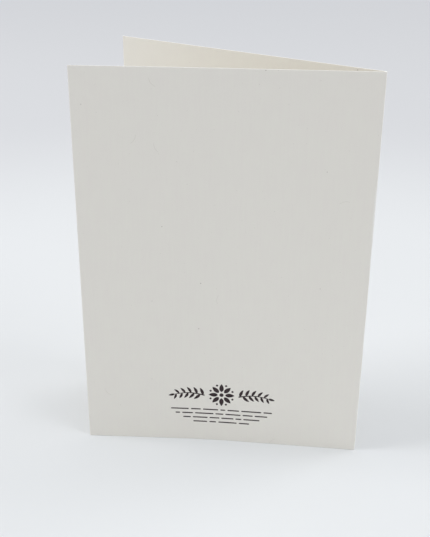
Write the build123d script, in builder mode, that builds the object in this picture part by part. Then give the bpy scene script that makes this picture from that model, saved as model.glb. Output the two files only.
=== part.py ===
# A folded greeting card, standing open on its lower edge.
#
# The card is one sheet of uncoated recycled board, scored down its middle and folded once.
# Seen from above it is a narrow V: the fold is at +X, and both leaves run from it towards -X,
# the back leaf on the -Y side and the front cover on the +Y side.
# The back leaf has kept a soft upright bend, strongest at its foot and fading towards its head.
# The origin is on the ground, under the centre of the card, and +Z runs up along the fold.

from build123d import *
import os
from math import radians

os.makedirs("parts", exist_ok=True)

# The sheet, in millimetres
leaf_width = 105.0  # from the middle of the fold to the cut edge
leaf_height = 148.0
board = 0.4  # thickness

# The scored fold
opening = 26.2  # degrees between the leaves, each taken straight from fold to cut edge
fold_radius = 0.25  # inner face of the board where it turns
bead_rise = 0.1  # how far the scored ridge stands up inside the fold

# The soft bend in the back leaf
bend_from_fold = 57.0  # to the middle of the bend
bend_width = 20.0
bend_at_foot = 4.0  # degrees that the outer part of the leaf flares away from the front cover
bend_at_head = 0.5

middle_radius = fold_radius + board / 2
front_lean = opening / 2
front_flat = leaf_width - middle_radius * radians(90 - front_lean)


def section(level, bend):
    """The sheet seen from above at one level, where the back leaf is bent by so many degrees.

    The part of the leaf next to the fold leans in by the share of the bend that lies beyond it,
    so that the cut edge stays upright whatever the bend is.
    """
    back_lean = front_lean - bend * (1 - bend_from_fold / leaf_width)
    back_flat = bend_from_fold - bend_width / 2 - middle_radius * radians(90 - back_lean)
    outer_flat = leaf_width - bend_from_fold - bend_width / 2
    with BuildSketch(Plane.XY.offset(level)) as outline:
        with BuildLine():
            fold = CenterArc((0, 0), fold_radius, back_lean - 90, 180 - back_lean - front_lean)
            Line(fold @ 1, fold @ 1 + fold % 1 * front_flat)
            inner = Line(fold @ 0, fold @ 0 - fold % 0 * back_flat)
            flare = JernArc(inner @ 1, inner % 1, bend_width / radians(bend), bend)
            Line(flare @ 1, flare @ 1 + flare % 1 * outer_flat)
            offset(amount=board, side=Side.RIGHT)
        make_face()
    return outline.sketch


with BuildPart() as sheet:
    loft([section(0, bend_at_foot), section(leaf_height, bend_at_head)], ruled=True)
    with BuildSketch():
        Circle(fold_radius + bead_rise)
    extrude(amount=leaf_height)

extent = sheet.part.bounding_box()
with BuildPart() as card:
    with Locations((-extent.center().X, -extent.center().Y, -extent.min.Z)):
        add(sheet.part)

card.part.label = "card"
export_step(card.part, "parts/card.step")
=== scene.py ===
import bmesh
import bpy
import numpy as np
from mathutils import Matrix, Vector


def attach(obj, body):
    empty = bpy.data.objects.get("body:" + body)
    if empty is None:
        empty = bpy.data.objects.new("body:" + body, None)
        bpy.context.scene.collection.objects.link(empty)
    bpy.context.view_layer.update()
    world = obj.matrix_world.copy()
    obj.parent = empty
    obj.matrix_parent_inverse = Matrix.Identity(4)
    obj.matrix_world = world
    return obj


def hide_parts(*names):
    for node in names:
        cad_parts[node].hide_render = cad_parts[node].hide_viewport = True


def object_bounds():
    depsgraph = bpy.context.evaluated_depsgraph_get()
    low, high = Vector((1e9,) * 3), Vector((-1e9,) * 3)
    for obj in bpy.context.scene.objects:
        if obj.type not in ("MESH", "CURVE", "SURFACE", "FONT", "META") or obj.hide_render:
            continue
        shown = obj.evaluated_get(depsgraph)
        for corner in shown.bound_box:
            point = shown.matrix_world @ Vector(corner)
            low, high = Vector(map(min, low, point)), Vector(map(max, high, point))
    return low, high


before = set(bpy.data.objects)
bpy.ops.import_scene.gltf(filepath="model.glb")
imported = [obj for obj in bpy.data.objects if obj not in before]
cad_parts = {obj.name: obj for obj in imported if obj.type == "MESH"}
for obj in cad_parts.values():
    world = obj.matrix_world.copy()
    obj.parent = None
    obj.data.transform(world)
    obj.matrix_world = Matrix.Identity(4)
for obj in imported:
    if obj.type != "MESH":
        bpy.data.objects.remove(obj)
cadLow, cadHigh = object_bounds()

mm = 0.001  # the shapes below are worked out in millimetres and put into the mesh in metres


# Small helpers


# sRGB hex to linear light: c / 12.92 near black, ((c + 0.055) / 1.055) to the power 2.4 above.
def hexColour(code):
    c = np.array([int(code[i : i + 2], 16) for i in (1, 3, 5)]) / 255
    linear = np.where(c < 0.04045, c / 12.92, ((c + 0.055) / 1.055) ** 2.4)
    return (*(float(x) for x in linear), 1.0)


# Adds one node with its settings and its links: an input takes a value, or an output socket to link from.
def addNode(tree, kind, inputs=None, **settings):
    node = tree.nodes.new(kind)
    for name, value in settings.items():
        setattr(node, name, value)
    for key, value in (inputs or {}).items():
        if isinstance(value, bpy.types.NodeSocket):
            tree.links.new(value, node.inputs[key])
        else:
            node.inputs[key].default_value = value
    return node


# An empty material and its node tree.
def newMaterial(name):
    material = bpy.data.materials.new(name)
    material.use_nodes = True
    material.node_tree.nodes.clear()
    return material, material.node_tree


# A mesh from point rows and quads, both in whole arrays; points come in millimetres.
def meshPiece(name, points, quads, smooth=True):
    mesh = bpy.data.meshes.new(name)
    mesh.from_pydata(np.asarray(points) * mm, [], np.asarray(quads).tolist())
    mesh.polygons.foreach_set("use_smooth", np.full(len(mesh.polygons), smooth))
    mesh.update()
    piece = bpy.data.objects.new(name, mesh)
    bpy.context.scene.collection.objects.link(piece)
    return piece


# Quads of a grid whose point numbers are given row by row, turning left round the grid's own normal.
def gridQuads(index):
    a, b, c, d = index[:-1, :-1], index[:-1, 1:], index[1:, 1:], index[1:, :-1]
    return np.stack([a, b, c, d], -1).reshape(-1, 4)


# The sheet of board

sheet = {
    "leafWidth": 105.0,  # mm, from the middle of the fold to the cut edge
    "board": 0.4,  # thickness
    "opening": 26.2,  # degrees between the leaves
    "foldRadius": 0.25,  # inner face, where the board turns
    "beadRadius": 0.35,  # the scored ridge that fills the inside of the fold
    "bendFromFold": 57.0,  # to the middle of the back leaf's soft bend
    "bendWidth": 20.0,
    "bendAtFoot": 4.0,  # degrees
    "bendAtHead": 0.5,
    "cutRound": 0.11,  # the knife leaves the rims of the board a little soft
    "cutSteps": 3,  # rows of the mesh round each rim
    "flatRow": 0.015,  # a narrow flat row beside the rim keeps the soft shading on the rim
    "cell": 1.6,  # mesh spacing on the leaves
    "foldEnd": 1.2,  # close rows as far as this on each side of the fold
    "foldCell": 0.09,
    "wave": 0.04,  # how far the board strays from flat
    "waves": (  # strength, mm along and mm up for one radian of the sine, and its shift in radians
        (1.0, 11.0, 37.0, 0.0),
        (0.8, -29.0, 17.0, 1.3),
        (0.6, 7.3, -23.0, 2.1),
    ),
    "waveStart": 3.0,  # mm from the fold where the waviness sets in
    "waveFull": 25.0,  # and where it is full
    "double": 0.0001,  # points nearer than this are one point
}
# from the CAD box, in mm: the height, the centre line of the fold and the foot
leafHeight = (cadHigh.z - cadLow.z) / mm
foldX = cadHigh.x / mm - sheet["foldRadius"] - sheet["board"]
foldY = (cadHigh.y + cadLow.y) / 2 / mm
footZ = cadLow.z / mm


# How far the back leaf is bent at height z: falls evenly from the foot to the head.
def bendAt(z):
    atFoot, atHead = sheet["bendAtFoot"], sheet["bendAtHead"]
    return np.radians(atFoot + (atHead - atFoot) * z / leafHeight)


# Lean of a leaf's first part away from the line that halves the opening. The back leaf's first part leans
# in by the share of the bend that lies beyond it, so that its cut edge stands upright.
def leanAt(z, back):
    share = 1 - sheet["bendFromFold"] / sheet["leafWidth"]
    return np.radians(sheet["opening"] / 2) - back * bendAt(z) * share


# Middle line of one leaf, walked outwards from the fold: the heading turns evenly round the fold, runs
# straight, and turns back evenly over the soft bend. Each step is the chord of a small arc, so it points
# halfway between the headings at its ends and is sin(half turn) / half turn as long as the arc.
def leafLine(s, z, back):
    middle = sheet["foldRadius"] + sheet["board"] / 2
    lean = leanAt(z, back)[:, None]
    start = sheet["bendFromFold"] - sheet["bendWidth"] / 2
    soft = np.clip((s - start) / sheet["bendWidth"], 0, 1) * back * bendAt(z)[:, None]
    heading = np.pi / 2 + np.minimum(s / middle, np.pi / 2 - lean) - soft
    half = np.diff(heading, axis=1) / 2
    chord = np.diff(s) * np.sinc(half / np.pi)
    halfway = heading[:, :-1] + half
    x = middle + np.cumsum(np.pad(chord * np.cos(halfway), ((0, 0), (1, 0))), axis=1)
    y = np.cumsum(np.pad(chord * np.sin(halfway), ((0, 0), (1, 0))), axis=1)
    return x, y, heading


# Slow waviness of the board in millimetres, nothing at the fold: three crossed waves of 45 to 230 mm. Each is
# strength * sin(s / along + z / up + shift), and their sum is divided by the sum of the strengths.
def waveAt(s, z):
    reach = sheet["waveFull"] - sheet["waveStart"]
    fade = np.clip((np.abs(s) - sheet["waveStart"]) / reach, 0, 1) ** 2
    swell = sum(
        strength * np.sin(s / along + z / up + shift)
        for strength, along, up, shift in sheet["waves"]
    )
    return sheet["wave"] * fade * swell / sum(wave[0] for wave in sheet["waves"])


# Outer and inner face of the sheet at signed distances s along it (back leaf negative) and heights z.
# The outer face stands half a board outside the middle line. The inner face stands half a board inside it,
# but at the fold it is the round of the bead, from one leaf's inner face to the other's.
def sheetFaces(s, z):
    outer, inner = np.zeros((len(z), len(s), 3)), np.zeros((len(z), len(s), 3))
    half = sheet["board"] / 2
    bead, fold = sheet["beadRadius"], sheet["foldRadius"]
    for back in (0, 1):
        mirror = -1 if back else 1
        side = (s < 0) if back else (s >= 0)
        # the middle line, walked from the fold outwards and put back in the order of s
        own = np.abs(s[side])
        order = np.argsort(own)
        walk = np.concatenate([[0.0], own[order]])
        x, y, heading = (line[:, 1:][:, np.argsort(order)] for line in leafLine(walk, z, back))
        normalX, normalY = np.sin(heading), -np.cos(heading)
        # the round of the bead, walked evenly as far as where it meets the leaf's inner face
        turned = np.pi / 2 - leanAt(z, back)[:, None]
        meets = np.arccos(fold / bead)
        beadEnd = turned * (fold + half) + np.sqrt(bead**2 - fold**2)
        angle = np.pi - (np.pi - turned - meets) * own / beadEnd
        onBead = own < beadEnd
        innerX = np.where(onBead, bead * np.cos(angle), x - normalX * half)
        innerY = np.where(onBead, bead * np.sin(angle), y - normalY * half)
        wave = waveAt(s[side], z[:, None])
        outerX, outerY = x + normalX * half, y + normalY * half
        for face, px, py in ((outer, outerX, outerY), (inner, innerX, innerY)):
            face[:, side, 0] = foldX + px + normalX * wave
            face[:, side, 1] = foldY + mirror * (py + normalY * wave)
            face[:, side, 2] = footZ + z[:, None]
    return outer, inner


# Stations from one cut edge to the other, with the soft rim of the cut at both ends. On the rim the place is
# end - round * (1 - sin), and the factor is cos, of an angle that goes from 0 to 90 degrees. The first and
# last station are the middle of the board, where the two faces meet.
def rimmedStations(inside, low, high):
    angle = np.linspace(0, np.pi / 2, sheet["cutSteps"] + 1)
    run = sheet["cutRound"] * (1 - np.sin(angle))
    place = np.concatenate([[low], (low + run)[::-1], inside, high - run, [high]])
    factor = np.concatenate([[0], np.cos(angle)[::-1], np.ones(len(inside)), np.cos(angle), [0]])
    border = np.zeros(len(place), bool)
    border[[0, -1]] = True
    return place, factor, border


# Even places between two ends, as near to one spacing as a whole number of steps allows.
def evenPlaces(low, high, cell):
    return np.linspace(low, high, max(2, round((high - low) / cell)) + 1)


# Makes one point of those that lie together, as three do at each corner of the sheet.
def mergeDoubles(piece, distance):
    shape = bmesh.new()
    shape.from_mesh(piece.data)
    bmesh.ops.remove_doubles(shape, verts=shape.verts, dist=distance * mm)
    shape.to_mesh(piece.data)
    shape.free()


# The whole sheet: one grid of stations along it and up it, laid on both faces. A point lies at the middle of
# the two faces + or - depth * the step from the inner to the outer one. The depth is 1/2 on the faces, and
# on the soft rim 1/2 - round / thickness * (1 - the two factors multiplied), down to 0 where the faces meet.
def buildSheet():
    width, cut, foldEnd = sheet["leafWidth"], sheet["cutRound"], sheet["foldEnd"]
    inset = cut + sheet["flatRow"]
    leaf = evenPlaces(foldEnd, width - inset, sheet["cell"])
    fold = evenPlaces(-foldEnd, foldEnd, sheet["foldCell"])
    insideS = np.concatenate([-leaf[:0:-1], fold, leaf[1:]])
    insideZ = evenPlaces(inset, leafHeight - inset, sheet["cell"])
    s, sFactor, sBorder = rimmedStations(insideS, -width, width)
    z, zFactor, zBorder = rimmedStations(insideZ, 0.0, leafHeight)
    outer, inner = sheetFaces(s, z)
    border = zBorder[:, None] | sBorder
    depth = 0.5 - cut / sheet["board"] * (1 - zFactor[:, None] * sFactor)
    depth = np.where(border, 0, depth)[..., None]
    middle, across = (outer + inner) / 2, outer - inner
    faces = [middle + across * depth, middle - across * depth]
    points = np.concatenate([face.reshape(-1, 3) for face in faces])
    front = np.arange(depth.size).reshape(len(z), len(s))
    rear = np.where(border, front, front + depth.size)
    quads = np.concatenate([gridQuads(front), gridQuads(rear)[:, ::-1]])
    used, quads = np.unique(quads, return_inverse=True)
    piece = meshPiece("cardSheet", points[used], quads.reshape(-1, 4))
    # flat place in millimetres: x along the sheet, y up, z 0 on the outer face and 1 on the inner one
    flatS, flatZ = np.meshgrid(s, z)
    flat = [np.stack([flatS, flatZ, 0.5 - way * depth[..., 0]], -1) for way in (1, -1)]
    flat = np.concatenate([face.reshape(-1, 3) for face in flat])[used]
    place = piece.data.attributes.new("flatPlace", "FLOAT_VECTOR", "POINT")
    place.data.foreach_set("vector", flat.astype(np.float32).ravel())
    mergeDoubles(piece, sheet["double"])
    return piece


cardSheet = buildSheet()
print("sheet:", len(cardSheet.data.polygons), "quads")


# The printed ornament: a rosette between two sprigs, over centred rows of short bars

imprint = {
    "footMargin": 8.6,  # mm from the lower edge of the leaf to the lowest row
    "film": 0.02,  # how far the ink stands on the board
    "filmStep": 0.001,  # strokes that cross lie one on the other by this much
    "filmSteps": 3,  # heights that the strokes take in turn
    "sunk": 0.02,  # how far the ink goes in
    "faceHigh": 30.0,  # mm; the leaf's face is worked out as far up as this, to lay the film on it
    "faceCell": (0.1, 0.5),  # mm along and up
    "cell": 0.5,  # mesh spacing along a bar
    "tip": 0.005,  # half the width that is left at the end of a stroke
    "rosetteUp": 12.6,  # from the lowest row
    "petals": 8,
    "petalStart": 1.45,  # from the middle of the rosette
    "petalEnd": 5.0,
    "petalWidth": 1.7,
    "dot": 0.42,  # radius of the dots between the petals
    "dotRing": 4.6,
    "middleDot": 0.8,
    "stemStart": 6.6,  # from the middle of the rosette
    "stemEnd": 18.2,
    "stemLift": 0.9,
    "stemWidth": 0.5,
    "stemTaper": 0.5,  # share of its width that the stem loses towards its tip
    "stemRows": 40,
    "leaves": 10,  # along each stem, above and below it by turns
    "leafLong": 3.5,
    "leafShort": 2.5,
    "leafWide": 1.2,
    "leafAngle": 56.0,  # degrees from the stem
    "leafCurl": 0.5,  # radians
    "leafDrawn": 0.8,  # below 1, petals and leaves are widest nearer to the root
    "leafFull": 0.8,  # below 1, they are fuller
    "tipLeafWide": 0.96,
    "barHigh": 0.5,
    "barEndRows": 4,
    "rowPitch": 1.9,
    "rowWidths": (22.0, 30.0, 36.0, 39.5),  # from the lowest row up
    "rowShift": 3,  # each row starts this many bars further along in the list
    "barLengths": (4.6, 2.2, 6.1, 3.4, 5.2, 1.7, 4.0, 6.8, 2.9, 5.6, 3.7),
    "barGap": 0.75,
}


# A step of length one, in degrees turned left from the reader's right.
def towards(degrees):
    angle = np.radians(degrees)
    return np.stack([np.cos(angle), np.sin(angle)], -1)


# One printed stroke: points = spine(u) + side(u) * halfWidth(u) * v, with u along the stroke and v from -1
# to 1 across it. The spine is an array of places (right, up) as the reader sees them.
def strokeGrid(spine, halfWidth, across=5):
    step = np.gradient(spine, axis=0)
    step /= np.linalg.norm(step, axis=1)[:, None]
    side = np.stack([-step[:, 1], step[:, 0]], -1)
    v = np.linspace(-1, 1, across)
    return spine[:, None] + side[:, None] * ((halfWidth + imprint["tip"])[:, None] * v)[..., None]


# A petal or leaf: it is width * sin(pi * u to the power leafDrawn) to the power leafFull wide, and its spine
# turns evenly by the curl.
def leafStroke(start, angle, length, width, curl=0.0, steps=13):
    u = np.linspace(0, 1, steps)
    run = towards(angle + np.degrees(curl) * (u - 0.5)) * length / (steps - 1)
    spine = np.asarray(start) + np.cumsum(run, axis=0) - run[0]
    rise = np.sin(np.pi * u ** imprint["leafDrawn"]) ** imprint["leafFull"]
    return strokeGrid(spine, width / 2 * rise)


# A round dot: half the width is radius * sqrt(1 - t squared) along a spine of one diameter.
def dotStroke(centre, radius, steps=13):
    t = -np.cos(np.linspace(0, np.pi, steps))
    spine = np.asarray(centre) + np.stack([t * radius, np.zeros(steps)], -1)
    return strokeGrid(spine, radius * np.sqrt(np.maximum(1 - t**2, 0)))


# A bar with round ends, lying along a row: the ends are quarter circles, as cos and sin of an even turn.
def barStroke(left, right, up, high):
    radius = high / 2
    turn = np.linspace(0, np.pi / 2, imprint["barEndRows"], endpoint=False)
    start, wide = radius * (1 - np.cos(turn)), radius * np.sin(turn)
    body = evenPlaces(left + radius, right - radius, imprint["cell"])
    x = np.concatenate([left + start, body, (right - start)[::-1]])
    half = np.concatenate([wide, np.full(len(body), radius), wide[::-1]])
    return strokeGrid(np.stack([x, np.full(len(x), up)], -1), half, across=3)


# The rosette: a dot, a ring of petals round it, and a small dot between each two petals.
def rosetteStrokes():
    centre = np.array([0, imprint["rosetteUp"]])
    strokes = [dotStroke(centre, imprint["middleDot"])]
    length = imprint["petalEnd"] - imprint["petalStart"]
    for k in range(imprint["petals"]):
        angle = 360 * k / imprint["petals"]
        root = centre + towards(angle) * imprint["petalStart"]
        strokes.append(leafStroke(root, angle, length, imprint["petalWidth"]))
        between = angle + 180 / imprint["petals"]
        strokes.append(dotStroke(centre + towards(between) * imprint["dotRing"], imprint["dot"]))
    return strokes


# A sprig: the stem is one low arch, as sin of half a turn, half of it below the rosette's middle. The leaves
# shorten towards its tip, and the last one stands on the tip.
def sprigStrokes(mirror):
    u = np.linspace(0, 1, imprint["stemRows"])
    reach = imprint["stemStart"] + (imprint["stemEnd"] - imprint["stemStart"]) * u
    lift = imprint["rosetteUp"] + imprint["stemLift"] * (np.sin(np.pi * u) - 0.5)
    slope = np.degrees(np.arctan2(np.gradient(lift), np.gradient(reach)))
    stem = np.stack([reach, lift], -1)
    half = imprint["stemWidth"] / 2 * (1 - imprint["stemTaper"] * u)
    strokes = [strokeGrid(stem, half, across=3)]
    for k in range(imprint["leaves"]):
        share = (k + 0.5) / imprint["leaves"]
        up = 1 - 2 * (k % 2)
        root = [np.interp(share, u, reach), np.interp(share, u, lift)]
        length = imprint["leafLong"] + (imprint["leafShort"] - imprint["leafLong"]) * share
        angle = np.interp(share, u, slope) + up * imprint["leafAngle"]
        width = imprint["leafWide"] * length / imprint["leafLong"]
        strokes.append(leafStroke(root, angle, length, width, curl=-imprint["leafCurl"] * up))
    strokes.append(leafStroke(stem[-1], slope[-1], imprint["leafShort"], imprint["tipLeafWide"]))
    return [stroke * (mirror, 1) for stroke in strokes]


# Rows of bars, uneven as hand-cut rules are: each row is filled from the list of lengths, scaled to the
# row's width and centred.
def rowStrokes():
    lengths = np.array(imprint["barLengths"])
    strokes = []
    for row, width in enumerate(imprint["rowWidths"]):
        order = np.roll(lengths, imprint["rowShift"] * row)
        ends = np.cumsum(order + imprint["barGap"]) - imprint["barGap"]
        keep = max(1, int(np.searchsorted(ends, width)))
        scale = width / ends[keep - 1]
        rights = ends[:keep] * scale - width / 2
        lefts = rights - order[:keep] * scale
        for left, right in zip(lefts, rights):
            strokes.append(barStroke(left, right, row * imprint["rowPitch"], imprint["barHigh"]))
    return strokes


# Lays places on the back leaf's outer face and lifts each off it by its own height. A place is given as the
# reader sees it, right and up from the middle of the lowest row, and right is towards the fold. Its point is
# blended from the four nearest of a close grid of that face, and the normal there is the step from the inner
# to the outer face, made one long.
def onBackLeaf(places, lift):
    sCell, zCell = imprint["faceCell"]
    sLine = np.arange(-sheet["leafWidth"], sCell / 2, sCell)
    zLine = np.arange(0, imprint["faceHigh"] + zCell / 2, zCell)
    outer, inner = sheetFaces(sLine, zLine)
    i = (places[:, 0] + sheet["leafWidth"] / 2) / sCell
    j = (places[:, 1] + imprint["footMargin"]) / zCell
    i0, j0 = np.floor(i).astype(int), np.floor(j).astype(int)
    fi, fj = (i - i0)[:, None], (j - j0)[:, None]

    def blendFour(face):
        low = face[j0, i0] * (1 - fi) + face[j0, i0 + 1] * fi
        high = face[j0 + 1, i0] * (1 - fi) + face[j0 + 1, i0 + 1] * fi
        return low * (1 - fj) + high * fj

    top, under = blendFour(outer), blendFour(inner)
    normal = (top - under) / np.linalg.norm(top - under, axis=1)[:, None]
    return top + normal * lift[:, None]


# Quads of a closed film over one stroke: its grid once on the board and once just inside it, joined round the
# rim. The points are numbered from start, those on the board first.
def filmQuads(stroke, start):
    rows, columns = stroke.shape[:2]
    above = np.arange(rows * columns).reshape(rows, columns) + start
    below = above + rows * columns
    rim = np.concatenate([above[0, :], above[1:, -1], above[-1, -2::-1], above[-2:0:-1, 0]])
    under = rim + rows * columns
    wall = np.stack([rim, np.roll(rim, -1), np.roll(under, -1), under], -1)
    quads = np.concatenate([gridQuads(above)[:, ::-1], gridQuads(below), wall])
    # a mirrored stroke runs the other way round, which the sign of its first cell's area tells
    across, along = stroke[1, -1] - stroke[1, 0], stroke[2, 0] - stroke[1, 0]
    area = across[0] * along[1] - across[1] * along[0]
    return quads if area < 0 else quads[:, ::-1]


# The whole ornament as one mesh, a film for each stroke.
def buildImprint():
    strokes = rosetteStrokes() + sprigStrokes(1) + sprigStrokes(-1) + rowStrokes()
    places, lifts, quads, start = [], [], [], 0
    for number, stroke in enumerate(strokes):
        flat = stroke.reshape(-1, 2)
        film = imprint["film"] + imprint["filmStep"] * (number % imprint["filmSteps"])
        places += [flat, flat]
        lifts.append(np.repeat([film, -imprint["sunk"]], len(flat)))
        quads.append(filmQuads(stroke, start))
        start += 2 * len(flat)
    points = onBackLeaf(np.concatenate(places), np.concatenate(lifts))
    piece = meshPiece("imprint", points, np.concatenate(quads), smooth=False)
    return piece, len(strokes)


printed, strokeCount = buildImprint()
print("imprint:", strokeCount, "strokes")


# Materials

boardFinish = {
    "outside": ("#eeece5", "#edeae4"),  # the light and the shaded tone of the pulp
    "inside": ("#efece3", "#eeeae2"),  # painted a little warmer, for the warm light that bounces between the leaves
    "cloud": 7.0,  # mm across, the cloudy formation of the pulp
    "streakWide": 0.9,  # mm, the grain of the board, which runs along the fold
    "streakLong": 14.0,
    "tooth": 0.5,  # mm; real fibres are 0.03 wide, too fine to show, so they are drawn as coarse as this
    "toneRange": (0.65, 1.35),  # of cloud and grain added up, from the light tone to the shade
    "cloudDeep": 0.005,  # mm of relief
    "streakDeep": 0.001,
    "toothDeep": 0.004,
    "torn": "#f5f5f3",  # loose fibres along the fold and on the cut edge
    "foldReach": (0.55, 1.05),  # mm from the middle of the fold, from torn to whole
    "foldFray": 0.9,  # mm by which the grain shortens that reach
    "edgeReach": 0.42,  # share of the board's thickness, each way from its middle
    "speck": "#7d756c",
    "speckCell": 12.0,  # mm, one speck in some of these cells
    "speckShare": 0.1,
    "speckSize": (0.1, 0.24),  # mm, radius
    "speckDark": 0.5,  # share of the speck's colour over the pulp's
    "dustCell": 3.4,
    "dustShare": 0.25,
    "dustSize": (0.05, 0.1),
    "dustDark": 0.55,
    "spotSoft": 0.06,  # mm over which a speck fades out
    "ragged": 0.17,  # mm, the noise that makes its outline ragged
    "raggedBy": 0.16,  # mm
    "hair": "#97907f",
    "hairCell": 20.0,  # mm, one hair in some of these cells
    "hairShare": 0.15,
    "hairLong": 3.6,
    "hairWide": 0.07,  # mm from its middle line, where it has faded out
    "hairCore": 0.021,  # and as far as it is full
    "hairDark": 0.3,
    "hairCurl": 0.16,  # mm of sag at one mm from its middle, growing as the square
    "otherFace": 250.0,  # the inner face takes its pattern this much further along
    "rough": 0.93,
    "gloss": 0.3,  # specular level
}


# The three patterns of the pulp: its cloudy formation, its grain along the fold and its tooth.
def pulpPatterns(tree, faced):
    finish = boardFinish
    cloud = addNode(tree, "ShaderNodeTexNoise", {
        "Vector": faced, "Scale": 1 / finish["cloud"], "Detail": 3.0, "Roughness": 0.6,
    }, noise_dimensions="2D").outputs["Fac"]
    stretched = addNode(tree, "ShaderNodeVectorMath", {
        0: faced, 1: (1 / finish["streakWide"], 1 / finish["streakLong"], 0),
    }, operation="MULTIPLY").outputs["Vector"]
    streak = addNode(tree, "ShaderNodeTexNoise", {
        "Vector": stretched, "Scale": 1.0, "Detail": 2.0,
    }, noise_dimensions="2D").outputs["Fac"]
    tooth = addNode(tree, "ShaderNodeTexNoise", {
        "Vector": faced, "Scale": 1 / finish["tooth"], "Detail": 2.0, "Distortion": 0.6,
    }, noise_dimensions="2D").outputs["Fac"]
    return cloud, streak, tooth


# Each face goes from its light to its shaded tone with cloud and grain added up; the inside holds painted
# bounce light.
def pulpColour(tree, cloud, streak, depth):
    finish = boardFinish
    pulp = addNode(tree, "ShaderNodeMath", {0: cloud, 1: streak}, operation="ADD").outputs[0]
    tone = addNode(tree, "ShaderNodeMapRange", {
        "Value": pulp, "From Min": finish["toneRange"][0], "From Max": finish["toneRange"][1],
    }).outputs["Result"]
    faces = []
    for light, shaded in (finish["outside"], finish["inside"]):
        faces.append(addNode(tree, "ShaderNodeMix", {
            "Factor": tone, "A": hexColour(light), "B": hexColour(shaded),
        }, data_type="RGBA").outputs["Result"])
    # the inner face takes its tones painted warmer for the light that bounces between the leaves
    return addNode(tree, "ShaderNodeMix", {
        "Factor": depth, "A": faces[0], "B": faces[1],
    }, data_type="RGBA").outputs["Result"]


# Specks and dust over a colour: one round spot in some of the cells. A little noise makes its outline ragged.
def addSpecks(tree, colour, faced):
    finish = boardFinish
    ragged = addNode(tree, "ShaderNodeTexNoise", {
        "Vector": faced, "Scale": 1 / finish["ragged"],
    }, noise_dimensions="2D").outputs["Color"]
    nudged = addNode(tree, "ShaderNodeVectorMath", {
        0: ragged, 1: (finish["raggedBy"],) * 3, 2: faced,
    }, operation="MULTIPLY_ADD").outputs[0]
    for kind in ("speck", "dust"):
        cell, sizes = finish[kind + "Cell"], finish[kind + "Size"]
        spot = addNode(tree, "ShaderNodeTexVoronoi", {
            "Vector": nudged, "Scale": 1 / cell,
        }, voronoi_dimensions="2D")
        chance = addNode(tree, "ShaderNodeSeparateColor", {0: spot.outputs["Color"]})
        size = addNode(tree, "ShaderNodeMapRange", {
            "Value": chance.outputs[0], "To Min": sizes[0] / cell, "To Max": sizes[1] / cell,
        }).outputs["Result"]
        within = addNode(tree, "ShaderNodeMath", {
            0: size, 1: spot.outputs["Distance"],
        }, operation="SUBTRACT").outputs[0]
        blot = addNode(tree, "ShaderNodeMapRange", {
            "Value": within, "From Max": finish["spotSoft"] / cell,
        }).outputs["Result"]
        chosen = addNode(tree, "ShaderNodeMath", {
            0: chance.outputs[2], 1: finish[kind + "Share"],
        }, operation="LESS_THAN").outputs[0]
        shown = addNode(tree, "ShaderNodeMath", {0: blot, 1: chosen}, operation="MULTIPLY").outputs[0]
        faint = addNode(tree, "ShaderNodeMath", {
            0: shown, 1: finish[kind + "Dark"],
        }, operation="MULTIPLY").outputs[0]
        colour = addNode(tree, "ShaderNodeMix", {
            "Factor": faint, "A": colour, "B": hexColour(finish["speck"]),
        }, data_type="RGBA").outputs["Result"]
    return colour


# Hairs over a colour: in some cells a thin parabola about the cell's point, turned by a random angle.
def addHairs(tree, colour, faced):
    finish = boardFinish
    nest = addNode(tree, "ShaderNodeTexVoronoi", {
        "Vector": faced, "Scale": 1 / finish["hairCell"],
    }, voronoi_dimensions="2D")
    chance = addNode(tree, "ShaderNodeSeparateColor", {0: nest.outputs["Color"]})
    local = addNode(tree, "ShaderNodeVectorMath", {
        0: faced, 1: nest.outputs["Position"],
    }, operation="SUBTRACT").outputs[0]
    angle = addNode(tree, "ShaderNodeMath", {
        0: chance.outputs[0], 1: 2 * np.pi,
    }, operation="MULTIPLY").outputs[0]
    turned = addNode(tree, "ShaderNodeVectorRotate", {
        "Vector": local, "Angle": angle,
    }, rotation_type="Z_AXIS").outputs[0]
    hair = addNode(tree, "ShaderNodeSeparateXYZ", {0: turned})
    square = addNode(tree, "ShaderNodeMath", {0: hair.outputs["X"], 1: 2.0}, operation="POWER").outputs[0]
    sag = addNode(tree, "ShaderNodeMath", {
        0: square, 1: -finish["hairCurl"], 2: hair.outputs["Y"],
    }, operation="MULTIPLY_ADD").outputs[0]
    beside = addNode(tree, "ShaderNodeMath", {0: sag}, operation="ABSOLUTE").outputs[0]
    thin = addNode(tree, "ShaderNodeMapRange", {
        "Value": beside, "From Min": finish["hairWide"], "From Max": finish["hairCore"],
    }).outputs["Result"]
    within = addNode(tree, "ShaderNodeMath", {
        0: hair.outputs["X"], 1: 0.0, 2: finish["hairLong"] / 2,
    }, operation="COMPARE").outputs[0]
    chosen = addNode(tree, "ShaderNodeMath", {
        0: chance.outputs[1], 1: finish["hairShare"],
    }, operation="LESS_THAN").outputs[0]
    strand = addNode(tree, "ShaderNodeMath", {0: thin, 1: within}, operation="MULTIPLY").outputs[0]
    shown = addNode(tree, "ShaderNodeMath", {0: strand, 1: chosen}, operation="MULTIPLY").outputs[0]
    faint = addNode(tree, "ShaderNodeMath", {
        0: shown, 1: finish["hairDark"],
    }, operation="MULTIPLY").outputs[0]
    return addNode(tree, "ShaderNodeMix", {
        "Factor": faint, "A": colour, "B": hexColour(finish["hair"]),
    }, data_type="RGBA").outputs["Result"]


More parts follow.
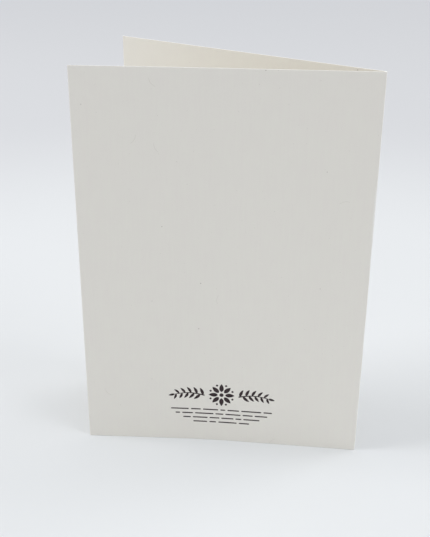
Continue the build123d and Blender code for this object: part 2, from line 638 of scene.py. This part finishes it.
# Torn fibres over a colour: a frayed band on the outside of the fold, and the cut edge between the faces.
def addTornFibres(tree, colour, along, depth, streak):
    finish = boardFinish
    foldAway = addNode(tree, "ShaderNodeMath", {0: along}, operation="ABSOLUTE").outputs[0]
    frayed = addNode(tree, "ShaderNodeMath", {
        0: streak, 1: finish["foldFray"], 2: foldAway,
    }, operation="MULTIPLY_ADD").outputs[0]
    onFold = addNode(tree, "ShaderNodeMapRange", {
        "Value": frayed, "From Min": finish["foldReach"][1], "From Max": finish["foldReach"][0],
    }, interpolation_type="SMOOTHSTEP").outputs["Result"]
    onEdge = addNode(tree, "ShaderNodeMath", {
        0: depth, 1: 0.5, 2: finish["edgeReach"],
    }, operation="COMPARE").outputs[0]
    torn = addNode(tree, "ShaderNodeMath", {0: onFold, 1: onEdge}, operation="MAXIMUM").outputs[0]
    return addNode(tree, "ShaderNodeMix", {
        "Factor": torn, "A": colour, "B": hexColour(finish["torn"]),
    }, data_type="RGBA").outputs["Result"]


# The board's relief: the three patterns of the pulp, each as deep as it is on the board.
def pulpRelief(tree, cloud, streak, tooth):
    finish = boardFinish
    relief = addNode(tree, "ShaderNodeMath", {
        0: cloud, 1: finish["cloudDeep"],
    }, operation="MULTIPLY").outputs[0]
    for pattern, deep in ((streak, finish["streakDeep"]), (tooth, finish["toothDeep"])):
        relief = addNode(tree, "ShaderNodeMath", {
            0: pattern, 1: deep, 2: relief,
        }, operation="MULTIPLY_ADD").outputs[0]
    return addNode(tree, "ShaderNodeBump", {"Height": relief, "Distance": mm}).outputs["Normal"]


# Uncoated recycled board: pulp laid on a wire, pressed and dried but not coated. It is matt and off-white, a
# little cloudy, with a fine grain along the fold, a few dark specks and now and then a stray hair.
def uncoatedBoard():
    finish = boardFinish
    material, tree = newMaterial("uncoatedRecycledBoard")
    # the patterns read the sheet's flat place, so that they run on round the fold; the inner face reads it
    # further along, so that it has patterns of its own
    place = addNode(tree, "ShaderNodeAttribute", attribute_name="flatPlace").outputs["Vector"]
    apart = addNode(tree, "ShaderNodeSeparateXYZ", {0: place})
    along, up, depth = (apart.outputs[k] for k in "XYZ")
    shifted = addNode(tree, "ShaderNodeMath", {
        0: depth, 1: finish["otherFace"], 2: along,
    }, operation="MULTIPLY_ADD").outputs[0]
    faced = addNode(tree, "ShaderNodeCombineXYZ", {"X": shifted, "Y": up}).outputs[0]
    cloud, streak, tooth = pulpPatterns(tree, faced)
    colour = pulpColour(tree, cloud, streak, depth)
    colour = addSpecks(tree, colour, faced)
    colour = addHairs(tree, colour, faced)
    colour = addTornFibres(tree, colour, along, depth, streak)
    shader = addNode(tree, "ShaderNodeBsdfPrincipled", {
        "Base Color": colour, "Roughness": finish["rough"],
        "Specular IOR Level": finish["gloss"], "Normal": pulpRelief(tree, cloud, streak, tooth),
    })
    addNode(tree, "ShaderNodeOutputMaterial", {"Surface": shader.outputs["BSDF"]})
    return material


inkFinish = {
    "full": "#291b1f",
    "thin": "#3a2b2e",  # where the board took less ink
    "mottle": 0.8,  # mm across
    "mottleRange": (0.4, 0.75),
    "rough": 0.62,
    "gloss": 0.4,
}


# Offset ink on uncoated board: it sinks in and dries matt, nearly black with a red cast, and lies a little
# unevenly because the fibres take it up unevenly.
def offsetInk():
    finish = inkFinish
    material, tree = newMaterial("offsetInk")
    place = addNode(tree, "ShaderNodeTexCoord").outputs["Object"]
    mottle = addNode(tree, "ShaderNodeTexNoise", {
        "Vector": place, "Scale": 1 / (finish["mottle"] * mm), "Detail": 3.0,
    }).outputs["Fac"]
    uneven = addNode(tree, "ShaderNodeMapRange", {
        "Value": mottle, "From Min": finish["mottleRange"][0], "From Max": finish["mottleRange"][1],
    }).outputs["Result"]
    colour = addNode(tree, "ShaderNodeMix", {
        "Factor": uneven, "A": hexColour(finish["full"]), "B": hexColour(finish["thin"]),
    }, data_type="RGBA").outputs["Result"]
    shader = addNode(tree, "ShaderNodeBsdfPrincipled", {
        "Base Color": colour, "Roughness": finish["rough"], "Specular IOR Level": finish["gloss"],
    })
    addNode(tree, "ShaderNodeOutputMaterial", {"Surface": shader.outputs["BSDF"]})
    return material


cardSheet.data.materials.append(uncoatedBoard())
printed.data.materials.append(offsetInk())
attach(cardSheet, "root")
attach(printed, "root")
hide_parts("card")
print("materials: board and ink")


# Floor, world, lamps and camera

studio = {
    "floorReach": 4.0,  # metres from the card to the floor's edge
    "floorLines": 9,  # of its mesh, each way
    "floorNear": "#e7eaed",
    # painted shade: the floor far off is darker, where the light falls off
    "floorFarPaintedShade": "#dadce0",
    "nearReach": 0.2,  # metres from the middle of the card: the floor turns from one colour to the other
    "farReach": 0.46,
    "backdrop": "#d4d6db",
    "fadeStart": 0.6,  # the floor fades into the backdrop between these, so that no horizon shows
    "fadeEnd": 1.4,
    "worldColour": "#ffffff",
    "worldStrength": 0.48,
    "lamps": (  # name, place and width in metres, power in watts
        ("topLamp", (0.0, 0.1, 2.2), 1.6, 10.5),
        ("leftLamp", (-2.1, -0.7, 1.2), 1.4, 28.8),
        ("rightLamp", (2.1, -0.5, 1.2), 1.4, 10.4),
        ("backLamp", (1.6, 1.5, 1.4), 1.4, 10.6),
    ),
}


# 1 on the rays by which the backdrop is seen, straight or in something shiny or clear, and 0 on those that
# carry light to matt surfaces.
def seenRays(tree):
    path = addNode(tree, "ShaderNodeLightPath").outputs
    shiny = addNode(tree, "ShaderNodeMath", {
        0: path["Is Camera Ray"], 1: path["Is Glossy Ray"],
    }, operation="MAXIMUM").outputs[0]
    return addNode(tree, "ShaderNodeMath", {
        0: shiny, 1: path["Is Transmission Ray"],
    }, operation="MAXIMUM").outputs[0]


# The floor: flat, pale by the card and darker far off by its distance from the middle, as painted falloff of
# light.
def buildFloor():
    line = np.linspace(-1, 1, studio["floorLines"]) * studio["floorReach"] / mm
    x, y = np.meshgrid(line, line)
    points = np.stack([x, y, np.full(x.shape, footZ)], -1).reshape(-1, 3)
    floor = meshPiece("floor", points, gridQuads(np.arange(x.size).reshape(x.shape)))
    material, tree = newMaterial("floorPaint")
    place = addNode(tree, "ShaderNodeTexCoord").outputs["Object"]
    away = addNode(tree, "ShaderNodeVectorMath", {0: place}, operation="LENGTH").outputs["Value"]
    share = addNode(tree, "ShaderNodeMapRange", {
        "Value": away, "From Min": studio["nearReach"], "From Max": studio["farReach"],
    }, interpolation_type="SMOOTHSTEP").outputs["Result"]
    # pale by the card, and painted shade far off
    colour = addNode(tree, "ShaderNodeMix", {
        "Factor": share, "A": hexColour(studio["floorNear"]), "B": hexColour(studio["floorFarPaintedShade"]),
    }, data_type="RGBA").outputs["Result"]
    paint = addNode(tree, "ShaderNodeBsdfDiffuse", {"Color": colour}).outputs["BSDF"]
    glow = addNode(tree, "ShaderNodeEmission", {"Color": hexColour(studio["backdrop"])}).outputs["Emission"]
    fade = addNode(tree, "ShaderNodeMapRange", {
        "Value": away, "From Min": studio["fadeStart"], "From Max": studio["fadeEnd"],
    }, interpolation_type="SMOOTHSTEP").outputs["Result"]
    faded = addNode(tree, "ShaderNodeMath", {0: fade, 1: seenRays(tree)}, operation="MULTIPLY").outputs[0]
    shown = addNode(tree, "ShaderNodeMixShader", {0: faded, 1: paint, 2: glow}).outputs["Shader"]
    addNode(tree, "ShaderNodeOutputMaterial", {"Surface": shown})
    floor.data.materials.append(material)


# The world: even white light on the card, and the backdrop's colour where it is seen.
def buildWorld():
    world = bpy.data.worlds.new("studioWorld")
    world.use_nodes = True
    tree = world.node_tree
    tree.nodes.clear()
    light = addNode(tree, "ShaderNodeBackground", {
        "Color": hexColour(studio["worldColour"]), "Strength": studio["worldStrength"],
    }).outputs["Background"]
    backdrop = addNode(tree, "ShaderNodeBackground", {
        "Color": hexColour(studio["backdrop"]), "Strength": 1.0,
    }).outputs["Background"]
    both = addNode(tree, "ShaderNodeMixShader", {0: seenRays(tree), 1: light, 2: backdrop}).outputs["Shader"]
    addNode(tree, "ShaderNodeOutputWorld", {"Surface": both})
    bpy.context.scene.world = world


# Soft round lamps, each turned towards the middle of the card.
def buildLamps():
    aim = (cadLow + cadHigh) / 2
    for name, place, size, power in studio["lamps"]:
        data = bpy.data.lights.new(name, "AREA")
        data.shape = "DISK"
        data.size, data.energy = size, power
        lamp = bpy.data.objects.new(name, data)
        lamp.location = place
        lamp.rotation_mode = "QUATERNION"
        lamp.rotation_quaternion = (aim - lamp.location).to_track_quat("-Z", "Y")
        bpy.context.scene.collection.objects.link(lamp)


buildFloor()
buildWorld()
buildLamps()
print("studio: floor, world and", len(studio["lamps"]), "lamps")

cameraSet = {
    "eye": (43.8, -317.4, 224.8),  # mm from the foot of the fold
    "yaw": 18.93,  # degrees
    "pitch": 27.15,
    "roll": -0.16,
    "focal": 976.3,  # in pixels of the frame
    "frame": (430, 537),
    "optical": (195.4, 305.0),  # pixel that the lens looks straight at
    "sensor": 36.0,  # mm
    "clip": (0.01, 20.0),  # metres
}


# The camera looks along its own -Z: it is rolled about that line, tipped up from straight down by 90 degrees
# less the pitch, and then turned by the yaw.
def buildCamera():
    wide, high = cameraSet["frame"]
    data = bpy.data.cameras.new("camera")
    # the sensor is fitted to the frame's longer side, its height, and the shifts are shares of that side
    data.sensor_width = cameraSet["sensor"]
    data.lens = cameraSet["sensor"] * cameraSet["focal"] / high
    data.shift_x = (wide / 2 - cameraSet["optical"][0]) / high
    data.shift_y = (cameraSet["optical"][1] - high / 2) / high
    data.clip_start, data.clip_end = cameraSet["clip"]
    camera = bpy.data.objects.new("camera", data)
    eye = np.array(cameraSet["eye"]) + [foldX, foldY, footZ]
    yaw, pitch, roll = (float(np.radians(cameraSet[k])) for k in ("yaw", "pitch", "roll"))
    tip = Matrix.Rotation(np.pi / 2 - pitch, 4, "X") @ Matrix.Rotation(roll, 4, "Z")
    camera.matrix_world = Matrix.Translation(eye * mm) @ Matrix.Rotation(yaw, 4, "Z") @ tip
    bpy.context.scene.collection.objects.link(camera)
    bpy.context.scene.camera = camera


buildCamera()
bpy.context.scene.view_settings.view_transform = "Standard"
print("camera: set")
